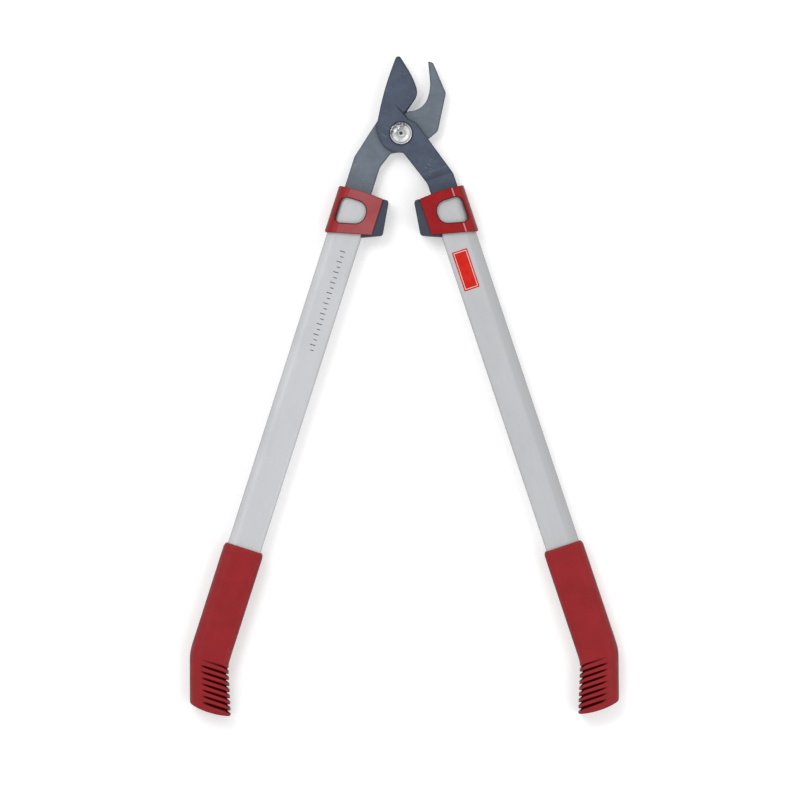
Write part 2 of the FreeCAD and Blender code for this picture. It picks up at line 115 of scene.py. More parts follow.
class Paint:
    """A material built on one Principled shader, with short calls for the nodes that vary it."""

    def __init__(self, name, colour, roughness, metallic=0.0, specular=0.5, coat=0.0, coat_roughness=0.1,
                 sheen=0.0):
        self.material = bpy.data.materials.new(name)
        self.material.use_nodes = True
        self.tree = self.material.node_tree
        self.shader = self.tree.nodes["Principled BSDF"]
        self.set("Base Color", (*colour, 1.0))
        self.set("Roughness", roughness)
        self.set("Metallic", metallic)
        self.set("Specular IOR Level", specular)
        self.set("Coat Weight", coat)
        self.set("Coat Roughness", coat_roughness)
        self.set("Sheen Weight", sheen)
        self.material.diffuse_color = (*colour, 1.0)

    def set(self, socket, value):
        self.shader.inputs[socket].default_value = value

    def node(self, kind, **settings):
        made = self.tree.nodes.new("ShaderNode" + kind)
        for key, value in settings.items():
            setattr(made, key, value)
        return made

    def link(self, source, target):
        self.tree.links.new(source, target)

    def drive(self, socket, source):
        self.link(source, self.shader.inputs[socket])

    def place(self, scale=(1, 1, 1), turn=0.0, centre=(0, 0, 0)):
        """Coordinates fixed to the piece, in metres, turned about Z and stretched."""
        coordinates = self.node("TexCoord").outputs["Object"]
        moved = self.node("VectorMath", operation="SUBTRACT")
        self.link(coordinates, moved.inputs[0])
        moved.inputs[1].default_value = centre
        turned = self.node("Mapping", vector_type="POINT")
        turned.inputs["Rotation"].default_value = (0, 0, turn)
        self.link(moved.outputs[0], turned.inputs["Vector"])
        stretched = self.node("VectorMath", operation="MULTIPLY")
        self.link(turned.outputs[0], stretched.inputs[0])
        stretched.inputs[1].default_value = scale
        return stretched.outputs[0]

    def noise(self, size_mm, detail=3.0, roughness=0.5, where=None):
        """Smooth noise whose patches are about size_mm wide, from 0 to 1."""
        made = self.node("TexNoise")
        made.inputs["Scale"].default_value = 1 / (size_mm * MM)
        made.inputs["Detail"].default_value = detail
        made.inputs["Roughness"].default_value = roughness
        self.link(where or self.place(), made.inputs["Vector"])
        return made.outputs["Fac"]

    def cells(self, size_mm, where=None):
        """Distance to the nearest of scattered points about size_mm apart."""
        made = self.node("TexVoronoi", feature="F1")
        made.inputs["Scale"].default_value = 1 / (size_mm * MM)
        self.link(where or self.place(), made.inputs["Vector"])
        return made.outputs["Distance"]

    def band(self, value, low, high, to_low=0.0, to_high=1.0):
        """value's stretch from low to high, spread smoothly over to_low to to_high."""
        made = self.node("MapRange", interpolation_type="SMOOTHSTEP", clamp=True)
        self.link(value, made.inputs["Value"])
        for socket, number in zip(("From Min", "From Max", "To Min", "To Max"), (low, high, to_low, to_high)):
            made.inputs[socket].default_value = number
        return made.outputs["Result"]

    def math(self, operation, first, second=0.0):
        made = self.node("Math", operation=operation)
        for index, value in enumerate((first, second)):
            if isinstance(value, (int, float)):
                made.inputs[index].default_value = value
            else:
                self.link(value, made.inputs[index])
        return made.outputs[0]

    def times(self, first, second):
        return self.math("MULTIPLY", first, second)

    def blend(self, factor, first, second):
        """A colour between first and second; either is a socket or three numbers."""
        made = self.node("Mix", data_type="RGBA")
        self.link(factor, made.inputs["Factor"])
        for name, colour in (("A", first), ("B", second)):
            socket = [s for s in made.inputs if s.name == name and s.type == "RGBA"][0]
            if isinstance(colour, tuple):
                socket.default_value = (*colour, 1.0)
            else:
                self.link(colour, socket)
        return [s for s in made.outputs if s.type == "RGBA"][0]

    def side_of(self, where, axis):
        """One coordinate of a place, in metres."""
        parts = self.node("SeparateXYZ")
        self.link(where, parts.inputs[0])
        return parts.outputs[axis]

    def along_handle(self, side, scale):
        """Stretched coordinates whose Y runs along one side's handle."""
        return self.place(scale, handle_turn(side))

    def across_handle(self, side):
        """Distance from the pivot across one side's handle, in metres."""
        return self.math("ABSOLUTE", self.side_of(self.place(turn=handle_turn(side), centre=PIVOT), "X"))

    def line(self, value, middle_mm, half_width_mm):
        """1 along a line at middle_mm, fading to 0 at half_width_mm on either side."""
        away = self.math("ABSOLUTE", self.math("SUBTRACT", value, middle_mm * MM))
        return self.band(away, 0.3 * half_width_mm * MM, half_width_mm * MM, 1.0, 0.0)

    def facing_up(self):
        """How far the surface faces along Z, from 0 to 1, whichever way up."""
        geometry = self.node("NewGeometry")
        to_piece = self.node("VectorTransform", vector_type="NORMAL", convert_from="WORLD",
                             convert_to="OBJECT")
        self.link(geometry.outputs["Normal"], to_piece.inputs["Vector"])
        return self.math("ABSOLUTE", self.side_of(to_piece.outputs[0], "Z"))

    def edges(self, radius_mm, sharpness=0.20):
        """1 on sharp edges and 0 on smooth faces, found by rounding the normal over radius_mm."""
        rounded = self.node("Bevel", samples=6)
        rounded.inputs["Radius"].default_value = radius_mm * MM
        plain = self.node("NewGeometry")
        match = self.node("VectorMath", operation="DOT_PRODUCT")
        self.link(rounded.outputs[0], match.inputs[0])
        self.link(plain.outputs["Normal"], match.inputs[1])
        return self.band(match.outputs["Value"], 1 - 0.05 * sharpness, 1 - sharpness)

    def mask(self, attribute):
        return self.node("Attribute", attribute_name=attribute).outputs["Fac"]

    def bump(self, height, depth_mm, strength=1.0, after=None):
        made = self.node("Bump")
        made.inputs["Strength"].default_value = strength
        made.inputs["Distance"].default_value = depth_mm * MM
        self.link(height, made.inputs["Height"])
        if after is not None:
            self.link(after, made.inputs["Normal"])
        return made.outputs["Normal"]


def handle_turn(side):
    """The turn about Z that brings a handle onto the Y axis."""
    return -HANDLE_ANGLE if side == "right" else HANDLE_ANGLE


def scaled(colour, factor):
    return tuple(min(1.0, channel * factor) for channel in colour)


def coated_steel(name, colour, bare, scuff_turn):
    """Satin coating on steel: faint mottling, fine grain, thin scuffs and worn edges, with painted shade
    along its edges and on its sloping sides.
    """
    paint = Paint(name, colour, 0.42, metallic=0.35, specular=0.5)
    mottle = paint.noise(14, 4, 0.6)
    tone = paint.blend(paint.band(mottle, 0.3, 0.7), scaled(colour, 0.90), scaled(colour, 1.12))
    grain = paint.noise(0.35, 2, 0.6)
    tone = paint.blend(paint.band(grain, 0.2, 0.8, 0, 0.35), tone, scaled(colour, 0.72))
    scratches = paint.noise(1.0, 1, 0.4, paint.place((0.07, 1.6, 1), scuff_turn))
    where = paint.band(paint.noise(11, 2, 0.5), 0.60, 0.68)
    scuffs = paint.times(paint.band(scratches, 0.63, 0.70), where)
    tone = paint.blend(paint.times(scuffs, 0.45), tone, bare)
    # Painted shade: a broad dark line along every sharp edge, inside corners as well as outside ones.
    rim = paint.times(paint.edges(2.2, 0.05), 0.85)
    tone = paint.blend(rim, tone, scaled(colour, 0.30))
    wear = paint.times(paint.edges(0.25), paint.band(paint.noise(3.0, 4, 0.7), 0.50, 0.66, 0.0, 0.5))
    tone = paint.blend(wear, tone, bare)
    # Painted shade on sloping faces, darker the further they turn from facing up.
    steep = paint.band(paint.facing_up(), 0.60, 0.985, 0.95, 0.0)
    tone = paint.blend(steep, tone, scaled(colour, 0.16))
    paint.drive("Base Color", tone)
    rough = paint.band(paint.noise(4.0, 4, 0.6), 0.25, 0.75, 0.36, 0.50)
    paint.drive("Roughness", paint.math("SUBTRACT", rough, paint.times(wear, 0.12)))
    grainy = paint.bump(grain, 0.02, 0.6)
    paint.drive("Normal", paint.bump(scuffs, 0.02, 0.5, grainy))
    return paint.material


def bright_metal(name, colour, ring_pitch_mm, metallic=1.0, shade_rings=(), shaded=0.0):
    """Plated turned steel: fine turning rings round the pivot, faint stains and dull spots. Each of
    shade_rings is a dark ring of painted shade round the centre: its radius, half width and strength. shaded
    is how dark a painted dark patch of reflection on one side of the head is."""
    paint = Paint(name, colour, 0.2, metallic=metallic)
    centre = (PIVOT.x, PIVOT.y, 0)
    flat = paint.place((1, 1, 0), centre=centre)
    length = paint.node("VectorMath", operation="LENGTH")
    paint.link(flat, length.inputs[0])
    radius = length.outputs["Value"]
    rings = paint.math("SINE", paint.times(radius, 2 * math.pi / (ring_pitch_mm * MM)))
    stains = paint.noise(3.2, 5, 0.65)
    tone = paint.blend(paint.band(stains, 0.45, 0.72), colour, scaled(colour, 0.62))
    # Painted reflection: a patchy dark patch on one side of the head, where its reflection is dark.
    if shaded:
        across = paint.side_of(paint.place(turn=math.radians(-35), centre=centre), "Y")
        one_side = paint.band(across, -1.5 * MM, 6 * MM)
        patchy = paint.band(paint.noise(1.8, 5, 0.75), 0.38, 0.58, 0.15, 1.0)
        painted_reflection_patch = paint.times(paint.times(one_side, patchy), shaded)
        tone = paint.blend(painted_reflection_patch, tone, scaled(BARE_STEEL, 0.22))
    # Painted shade: dark rings round the centre of the head.
    for middle, half_width, strength in shade_rings:
        groove = paint.times(paint.line(radius, middle, half_width), strength)
        tone = paint.blend(groove, tone, SHADE_BLACK)
    paint.drive("Base Color", tone)
    paint.drive("Roughness", paint.band(stains, 0.3, 0.75, 0.12, 0.34))
    fine = paint.bump(paint.noise(0.25, 2, 0.5), 0.01, 0.5)
    paint.drive("Normal", paint.bump(rings, 0.004, 0.5, fine))
    return paint.material


def dark_metal(name, colour):
    """Blackened steel with paler patches."""
    paint = Paint(name, colour, 0.45, metallic=0.6)
    patches = paint.noise(2.0, 4, 0.6)
    paint.drive("Base Color", paint.blend(paint.band(patches, 0.4, 0.7), colour, scaled(colour, 2.2)))
    paint.drive("Roughness", paint.band(patches, 0.3, 0.7, 0.35, 0.6))
    paint.drive("Normal", paint.bump(paint.noise(0.3, 2, 0.5), 0.01, 0.6))
    return paint.material


def tube_metal(name, colour, side):
    """Silver-coated extruded aluminium: drawing lines along the tube, fine sparkle and faint handling marks,
    with painted shade: the right tube darker overall and towards its outer side, and both darker on their
    sloping sides.
    """
    paint = Paint(name, colour, 0.50, metallic=0.15, specular=0.4)
    lines = paint.noise(0.30, 3, 0.6, paint.along_handle(side, (1, 0.012, 1)))
    flakes = paint.noise(0.18, 1, 0.5)
    smears = paint.noise(26, 4, 0.6, paint.along_handle(side, (1, 0.4, 1)))
    # Painted shade: each tube's silver dimmed by its own share.
    colour = scaled(colour, TUBE_SHADE[side])
    tone = paint.blend(paint.band(smears, 0.35, 0.7), scaled(colour, 1.03), scaled(colour, 0.94))
    tone = paint.blend(paint.band(lines, 0.35, 0.75, 0, 0.35), tone, scaled(colour, 0.86))
    tone = paint.blend(paint.band(flakes, 0.62, 0.75, 0, 0.4), tone, scaled(colour, 1.25))
    short_marks = paint.noise(0.9, 1, 0.4, paint.along_handle(side, (1, 0.12, 1)))
    where = paint.band(paint.noise(17, 2, 0.5), 0.62, 0.70)
    nicks = paint.times(paint.band(short_marks, 0.74, 0.78), where)
    tone = paint.blend(paint.times(nicks, 0.5), tone, scaled(colour, 0.45))
    # Painted shade: the right tube darkens towards its outer side.
    if side == "right":
        outer_x = TUBE_HIGH.x
        shade = paint.band(paint.across_handle(side), (outer_x - 11) * MM, (outer_x - 7) * MM, 0.0, 0.9)
        tone = paint.blend(shade, tone, scaled(colour, 0.84))
    # Painted shade on sloping faces.
    tone = paint.blend(paint.band(paint.facing_up(), 0.15, 0.75, 0.6, 0.0), tone, scaled(colour, 0.5))
    paint.drive("Base Color", tone)
    paint.drive("Roughness", paint.band(smears, 0.3, 0.7, 0.44, 0.57))
    drawn = paint.bump(lines, 0.01, 0.5)
    paint.drive("Normal", paint.bump(nicks, 0.03, 0.4, drawn))
    return paint.material


def moulded_plastic(name, colour, roughness, coat=0.0, side=None, sheen_strength=0.0, highlight_strength=0.0):
    """Glossy moulded plastic: slow tone drift, fine grain, a dark line of painted shade at its edges and
    painted shade on its sloping sides. On a collar, whose side is given, sheen_strength is a pale painted
    sheen on the flat face and highlight_strength a painted highlight along its crease."""
    paint = Paint(name, colour, roughness, specular=0.20, coat=coat, coat_roughness=0.16)
    drift = paint.noise(14, 3, 0.5)
    tone = paint.blend(paint.band(drift, 0.3, 0.7), scaled(colour, 0.95), scaled(colour, 1.05))
    upright = paint.facing_up()
    if side:
        across = paint.across_handle(side)
        crease_x = COLLAR_HIGH.x - COLLAR_HIGH.z
        # Painted sheen: a pale patchy sheen on the flat face.
        painted_sheen = paint.band(paint.noise(22, 3, 0.5), 0.3, 0.7, 0.8 * sheen_strength, 1.2 * sheen_strength)
        flat_part = paint.band(across, (crease_x - 1.5) * MM, (crease_x + 2.5) * MM, 1.0, 0.0)
        tone = paint.blend(paint.times(painted_sheen, flat_part), tone, SHEEN_PINK)
        # Painted highlight: a light line along the crease where the flat face meets the round side.
        crease = paint.times(paint.line(across, crease_x + 0.2, 0.9), paint.band(upright, 0.90, 0.97))
        tone = paint.blend(paint.times(crease, highlight_strength), tone, CREASE_HIGHLIGHT)
    # Painted shade: a dark line along sharp edges.
    tone = paint.blend(paint.times(paint.edges(1.6, 0.08), 0.75), tone, scaled(colour, 0.22))
    # Painted shade on sloping faces.
    tone = paint.blend(paint.band(upright, 0.30, 0.88, 0.75, 0.0), tone, scaled(colour, 0.28))
    paint.drive("Base Color", tone)
    paint.drive("Roughness", paint.band(paint.noise(5, 4, 0.6), 0.3, 0.7, roughness - 0.05, roughness + 0.08))
    ripple = paint.bump(paint.noise(6, 2, 0.4), 0.02, 0.15)
    paint.drive("Normal", paint.bump(paint.noise(0.4, 2, 0.5), 0.006, 0.4, ripple))
    return paint.material


def soft_rubber(name, colour, grain_mm, grain_depth_mm, groove_shade_attribute=None):
    """Matt soft plastic with a spark-eroded grain, rubbed paler on its high edges."""
    paint = Paint(name, colour, 0.52, specular=0.22, sheen=0.02)
    drift = paint.noise(18, 4, 0.55)
    tone = paint.blend(paint.band(drift, 0.3, 0.7), scaled(colour, 0.90), scaled(colour, 1.08))
    grain = paint.cells(grain_mm)
    tone = paint.blend(paint.band(grain, 0.25, 0.7, 0, 0.28), tone, scaled(colour, 0.62))
    # Painted shade on sloping faces.
    tone = paint.blend(paint.band(paint.facing_up(), 0.10, 0.80, 0.75, 0.0), tone, scaled(colour, 0.25))
    # Painted shade in the grooves, darkest where they are deepest.
    if groove_shade_attribute:
        depth = paint.band(paint.mask(groove_shade_attribute), 0.05, 0.45)
        tone = paint.blend(depth, tone, GROOVE_SHADE_RED)
        paint.drive("Specular IOR Level", paint.times(paint.math("SUBTRACT", 1.0, depth), 0.22))
    rub = paint.times(paint.edges(0.6), paint.band(paint.noise(2.0, 3, 0.6), 0.35, 0.7, 0.0, 0.15))
    tone = paint.blend(rub, tone, tuple(0.08 + 0.95 * channel for channel in colour))
    paint.drive("Base Color", tone)
    rough = paint.band(paint.noise(7, 4, 0.6), 0.3, 0.7, 0.46, 0.60)
    paint.drive("Roughness", rough)
    ripple = paint.bump(drift, 0.15, 0.25)
    paint.drive("Normal", paint.bump(grain, grain_depth_mm, 0.7, ripple))
    return paint.material


def printed_film(name, colour, roughness):
    """Printed vinyl or ink: slight tone drift, fine print screen and small rubbed spots."""
    paint = Paint(name, colour, roughness, specular=0.2)
    drift = paint.noise(6, 3, 0.5)
    tone = paint.blend(paint.band(drift, 0.3, 0.7), scaled(colour, 0.92), scaled(colour, 1.06))
    rubbed = paint.band(paint.noise(0.7, 3, 0.6), 0.68, 0.74, 0, 0.35)
    tone = paint.blend(rubbed, tone, tuple(0.12 + 0.8 * channel for channel in colour))
    paint.drive("Base Color", tone)
    paint.drive("Roughness", paint.band(drift, 0.3, 0.7, roughness - 0.05, roughness + 0.08))
    paint.drive("Normal", paint.bump(paint.noise(0.8, 2, 0.5), 0.01, 0.5))
    return paint.material


# Colours, as linear red, green and blue

BLADE_BLUE = (0.074, 0.094, 0.140)
HOOK_GREY = (0.148, 0.178, 0.215)
BARE_STEEL = (0.36, 0.39, 0.43)
ZINC = (0.80, 0.82, 0.84)
SILVER = (0.585, 0.59, 0.61)
COLLAR_RED = (0.29, 0.008, 0.010)
WINDOW_SHADE_RED = (0.065, 0.006, 0.008)
GRIP_RED = (0.290, 0.012, 0.016)
GROOVE_SHADE_RED = (0.035, 0.0006, 0.0012)
SHEEN_PINK = (0.62, 0.45, 0.48)
CREASE_HIGHLIGHT = (0.75, 0.52, 0.54)
SHADE_BLACK = (0.012, 0.014, 0.016)
PIN_STEEL = (0.52, 0.52, 0.53)
SLATE = (0.050, 0.060, 0.085)
BLACK = (0.030, 0.030, 0.032)
VINYL_RED = (0.60, 0.018, 0.010)
PRINT_PALE = (0.62, 0.60, 0.58)
PRINT_GREY = (0.045, 0.048, 0.055)

# Painted shade: the share of the silver's brightness each tube keeps, less on the right tube
TUBE_SHADE = {"right": 0.88, "left": 0.96}

# Painted shade on the bolt's head, as dark rings round its centre, the first filling its middle: radius, half
# width in millimetres, and strength
BOLT_SHADE_RINGS = ((0.0, 2.4, 0.97), (3.2, 0.45, 0.30), (8.55, 0.40, 0.70))

MATERIALS = {
    "blade_steel": coated_steel("blade_steel", BLADE_BLUE, BARE_STEEL, 0.6),
    "hook_steel": coated_steel("hook_steel", HOOK_GREY, BARE_STEEL, -0.5),
    "bright_zinc": bright_metal("bright_zinc", ZINC, 0.35),
    "bolt_zinc": bright_metal("bolt_zinc", ZINC, 0.35, 0.55, BOLT_SHADE_RINGS, 0.95),
    "dark_washer": dark_metal("dark_washer", BLACK),
    # Both tubes are one metal; these two copies differ only in their painted shade.
    "right_tube": tube_metal("right_tube_metal", SILVER, "right"),
    "left_tube": tube_metal("left_tube_metal", SILVER, "left"),
    # Both collars are one plastic; besides roughness, these copies differ in how much painted sheen and
    # painted highlight each carries.
    "right_collar": moulded_plastic("right_collar_plastic", COLLAR_RED, 0.30, 0.10, "right", 0.005, 0.45),
    "left_collar": moulded_plastic("left_collar_plastic", COLLAR_RED, 0.38, 0.10, "left", 0.14, 0.05),
    "buffer_rubber": soft_rubber("buffer_rubber", SLATE, 0.5, 0.04),
    # A dark strip of painted shade round each window.
    "window_shade_line": moulded_plastic("window_shade_plastic", WINDOW_SHADE_RED, 0.50),
    "liner_plastic": moulded_plastic("liner_plastic", BLACK, 0.45),
    "pin_steel": bright_metal("pin_steel", PIN_STEEL, 0.5),
    "grip_rubber": soft_rubber("grip_rubber", GRIP_RED, 0.55, 0.05, groove_shade_attribute="groove"),
    "label_vinyl": printed_film("label_vinyl", VINYL_RED, 0.30),
    "print_pale": printed_film("print_pale", PRINT_PALE, 0.35),
    "print_grey": printed_film("print_grey", PRINT_GREY, 0.40),
}


# Building pieces

def new_piece(name, mesh_data, material, body):
    """Closes a bmesh into a smooth-shaded piece that rides on its body."""
    bmesh.ops.recalc_face_normals(mesh_data, faces=mesh_data.faces)
    mesh = bpy.data.meshes.new(name)
    mesh_data.to_mesh(mesh)
    mesh_data.free()
    mesh.shade_smooth()
    piece = bpy.data.objects.new(name, mesh)
    bpy.context.scene.collection.objects.link(piece)
    mesh.materials.append(MATERIALS[material])
    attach(piece, body)
    return piece


def skin(bm, first, second):
    """A strip of faces between two closed rings of equal length."""
    count = len(first)
    for index in range(count):
        following = (index + 1) % count
        bm.faces.new((first[index], first[following], second[following], second[index]))


def loft(rings, matrix, attribute=None):
    """Skin through closed rings of equal length, with the first and last filled in. Each ring is a list of
    (point, value), and value goes to the named attribute."""
    bm = bmesh.new()
    layer = bm.verts.layers.float.new(attribute) if attribute else None
    rows = []
    for ring in rings:
        row = []
        for point, value in ring:
            vertex = bm.verts.new(matrix @ Vector(point))
            if layer:
                vertex[layer] = value
            row.append(vertex)
        rows.append(row)
    for first, second in zip(rows, rows[1:]):
        skin(bm, first, second)
    for row in (rows[0], rows[-1]):
        bm.faces.new(row)
    bmesh.ops.remove_doubles(bm, verts=bm.verts, dist=1e-6)
    bmesh.ops.dissolve_degenerate(bm, edges=bm.edges, dist=1e-6)
    return bm


def softened(node, name, body, material, width_mm, segments=3, angle=28, clamped=True):
    """A finer version of a CAD node, with its edges rounded, that stands for it."""
    source = frame["nodes"][node].data
    bm = bmesh.new()
    vertices = [bm.verts.new(vertex.co) for vertex in source.vertices]
    for polygon in source.polygons:
        bm.faces.new([vertices[index] for index in polygon.vertices])
    bmesh.ops.remove_doubles(bm, verts=bm.verts, dist=1e-6)
    bmesh.ops.dissolve_limit(bm, angle_limit=math.radians(0.6), verts=bm.verts, edges=bm.edges)
    piece = new_piece(name, bm, material, body)
    bevel = piece.modifiers.new("rounding", "BEVEL")
    bevel.width = width_mm * MM
    bevel.segments = segments
    bevel.limit_method = "ANGLE"
    bevel.angle_limit = math.radians(angle)
    bevel.harden_normals = True
    bevel.use_clamp_overlap = clamped
    bevel.miter_outer = "MITER_ARC"
    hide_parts(node)
    return piece


# Grips

GRIP_BEND_Y = -505.5
GRIP_BEND_RADIUS = 30.0
GRIP_BEND_ANGLE = math.radians(17.9)
PALM_TOP = -514.0
PALM_SLOPE = math.tan(math.radians(20.6))
GRIP_CORNER = 5.5
TUBE_CORNER = 3.2
TOP_ROUNDING = 5.2
END_ROUNDING = 1.6
END_ARC_SAG = 15.8
END_ARC_HALF_CHORD = 46.0
END_MIDDLE_X = 6.0
END_CORNER_REACH = 19.8
END_BLEND = (553.5, 557.5)
SOCKET_CLEARANCE = 0.06
SOCKET_FLOOR_GAP = 0.1
SOCKET_FLOOR_INSET = 8.4

RIB_COUNT = 8
RIB_PITCH = 5.25
RIB_FIRST_Y = -516.4
RIB_DEPTH = 1.5
RIB_EDGE_DEPTH = 2.8
RIB_LENGTH = 27.5
RIB_DROOP = 1.0


def smooth(value, low, high):
    """0 below low, 1 above high, and a smooth S between them."""
    t = min(1.0, max(0.0, (value - low) / (high - low)))
    return t * t * (3 - 2 * t)


def grip_outer_x(y):
    """Outer edge of the grip: straight, then round the bend, then straight again."""
    centre_x = (TUBE_LOW.x + TUBE_HIGH.x) / 2 - GRIP_BEND_RADIUS
    radius = GRIP_HIGH.x - centre_x
    drop = GRIP_BEND_Y - y
    if drop <= 0:
        return GRIP_HIGH.x
    if drop <= radius * math.sin(GRIP_BEND_ANGLE):
        return centre_x + math.sqrt(radius ** 2 - drop ** 2)
    bend_end_x = centre_x + radius * math.cos(GRIP_BEND_ANGLE)
    return bend_end_x - (drop - radius * math.sin(GRIP_BEND_ANGLE)) * math.tan(GRIP_BEND_ANGLE)


def grip_inner_x(y):
    """Inner edge of the grip, with a soft corner where the palm side turns inwards."""
    softness = 1.6
    inner_x = TUBE_LOW.x + TUBE_HIGH.x - GRIP_HIGH.x
    return inner_x - PALM_SLOPE * softness * math.log1p(math.exp((PALM_TOP - y) / softness))


def end_drop(x):
    """How far the curved lower end of the grip reaches below the level of its corners, at one x."""
    radius = (END_ARC_HALF_CHORD ** 2 + END_ARC_SAG ** 2) / (2 * END_ARC_SAG)
    lowest = radius - math.sqrt(radius ** 2 - END_CORNER_REACH ** 2)
    return lowest - (radius - math.sqrt(radius ** 2 - (x - END_MIDDLE_X) ** 2))


def outline_points(x_inner, x_outer, half_height, corner):
    """Points (x, z) and inward normals round a section with a flat inner side and a half-round outer side."""
    corner = min(corner, half_height - 0.01)
    side_steps, corner_steps, face_steps, round_steps = 6, 8, 30, 30
    points = []
    for step in range(side_steps):
        z = (half_height - corner) * (2 * step / side_steps - 1)
        points.append((x_inner, z, 1.0, 0.0))
    start, end = x_inner + corner, x_outer - half_height
    for step in range(corner_steps):
        angle = math.pi - math.pi / 2 * step / corner_steps
        z = half_height - corner + corner * math.sin(angle)
        points.append((start + corner * math.cos(angle), z, -math.cos(angle), -math.sin(angle)))
    for step in range(face_steps):
        points.append((start + (end - start) * step / face_steps, half_height, 0.0, -1.0))
    for step in range(round_steps):
        angle = math.pi / 2 - math.pi * step / round_steps
        z = half_height * math.sin(angle)
        points.append((end + half_height * math.cos(angle), z, -math.cos(angle), -math.sin(angle)))
    for step in range(face_steps):
        points.append((end + (start - end) * step / face_steps, -half_height, 0.0, 1.0))
    for step in range(corner_steps):
        angle = -math.pi / 2 - math.pi / 2 * step / corner_steps
        z = corner - half_height + corner * math.sin(angle)
        points.append((start + corner * math.cos(angle), z, -math.cos(angle), -math.sin(angle)))
    return points


def groove_profile(distance):
    """Depth of one groove, 0 to 1, at a distance above its middle. The upper wall is the steeper one."""
    wall = 1 - smooth(distance, 0.3, 1.0)
    slope = smooth(distance, -2.1, -0.5)
    return wall * slope


def groove_depth(y, reach, edge_share):
    """How much of the full depth the grooves have at y. reach is 0 at the inner edge and 1 where they end."""
    if reach >= 1:
        return 0.0
    along = math.sqrt(1 - reach)
    deepest = 0.0
    for step in range(RIB_COUNT):
        middle = RIB_FIRST_Y - step * RIB_PITCH - RIB_DROOP * edge_share
        full = 0.45 if step == 0 else 1.0
        deepest = max(deepest, full * groove_profile(y - middle))
    return deepest * along


def grip_ring(y, inset_x=0.0, inset_z=0.0, end_share=0.0):
    """One section of the grip's outside, with its grooves."""
    half_height = GRIP_HIGH.z - inset_z
    inner_x = grip_inner_x(y)
    ring = []
    for x, z, normal_x, normal_z in outline_points(inner_x + inset_x, grip_outer_x(y) - inset_x, half_height,
                                                   max(GRIP_CORNER - inset_z, 0.6)):
        reach = max(0.0, x - inner_x) / RIB_LENGTH
        edge_share = 1 - smooth(x - inner_x, 0.5, 5.0)
        share = groove_depth(y, reach, edge_share)
        depth = share * (RIB_DEPTH + (RIB_EDGE_DEPTH - RIB_DEPTH) * edge_share)
        point = (x + normal_x * depth, y - end_share * end_drop(x), z + normal_z * depth)
        ring.append((point, share))
    return ring


def tube_ring(y, clearance):
    """One section of the socket, which follows the tube at a small distance."""
    inner_x, outer_x = TUBE_LOW.x - clearance, TUBE_HIGH.x + clearance
    section = outline_points(inner_x, outer_x, TUBE_HIGH.z + clearance, TUBE_CORNER)
    return [((x, y, z), 0.0) for x, z, _, _ in section]


def grip_rings():
    """Rings from the socket's floor up the tube, over the lip, and down the outside to the curved end."""
    top = GRIP_HIGH.y
    floor_y = TUBE_LOW.y - SOCKET_FLOOR_GAP
    inner_x, outer_x = TUBE_LOW.x + SOCKET_FLOOR_INSET, TUBE_HIGH.x - SOCKET_FLOOR_INSET
    rings = [[((x, floor_y, z), 0.0) for x, z, _, _ in outline_points(inner_x, outer_x, 0.1, 0.05)]]
    for y, widening in ((floor_y, 0.0), ((TUBE_LOW.y + top) / 2, 0.0), (top - 0.6, 0.0), (top, 0.3)):
        rings.append(tube_ring(y, SOCKET_CLEARANCE + widening))
    rounding_steps = 7
    for step in range(1, rounding_steps + 1):
        angle = math.pi / 2 * step / rounding_steps
        side_inset = (TUBE_LOW.x - grip_inner_x(top) - 0.4) * (1 - math.sin(angle))
        face_inset = 1.2 * (1 - math.sin(angle)) ** 1.5
        rings.append(grip_ring(top - TOP_ROUNDING * (1 - math.cos(angle)), side_inset, face_inset))
    plain_steps = 34
    plain_top = top - TOP_ROUNDING
    plain_bottom = PALM_TOP + 4
    for step in range(plain_steps + 1):
        rings.append(grip_ring(plain_top + (plain_bottom - plain_top) * step / plain_steps))
    fine_pitch = 0.30
    end_corner = GRIP_LOW.y + end_drop(END_MIDDLE_X)
    ribbed_bottom = end_corner + END_ROUNDING
    fine_steps = round((plain_bottom - ribbed_bottom) / fine_pitch)
    for step in range(1, fine_steps + 1):
        y = plain_bottom + (ribbed_bottom - plain_bottom) * step / fine_steps
        rings.append(grip_ring(y, end_share=smooth(-y, *END_BLEND)))
    for step in range(1, rounding_steps + 1):
        angle = math.pi / 2 * step / rounding_steps
        inset = END_ROUNDING * (1 - math.cos(angle))
        rings.append(grip_ring(ribbed_bottom - END_ROUNDING * math.sin(angle), inset, inset, 1.0))
    cap_steps = 5
    for step in range(1, cap_steps + 1):
        inset = END_ROUNDING + (GRIP_HIGH.z - 0.1 - END_ROUNDING) * step / cap_steps
        rings.append(grip_ring(end_corner, inset, inset, 1.0))
    return rings


def make_grip(side):
    """The soft sleeve with its grooves, in place of the plain CAD grip."""
    bm = loft(grip_rings(), handle_matrix(side), attribute="groove")
    piece = new_piece(side + "_grip_sleeve", bm, "grip_rubber", BODY_OF_SIDE[side])
    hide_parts(side + "_grip")
    return piece


# Thin prints on the tubes

def print_flat(name, side, shapes, z_low, z_high, material):
    """Thin raised shapes on the front face of a tube. Each shape is a list of (x, y)."""
    bm = bmesh.new()
    matrix = handle_matrix(side)
    for shape in shapes:
        bottom = [bm.verts.new(matrix @ Vector((x, y, z_low))) for x, y in shape]
        top = [bm.verts.new(matrix @ Vector((x, y, z_high))) for x, y in shape]
        bm.faces.new(bottom)
        bm.faces.new(top)
        skin(bm, bottom, top)
    piece = new_piece(name, bm, material, BODY_OF_SIDE[side])
    piece.data.shade_flat()
    return piece


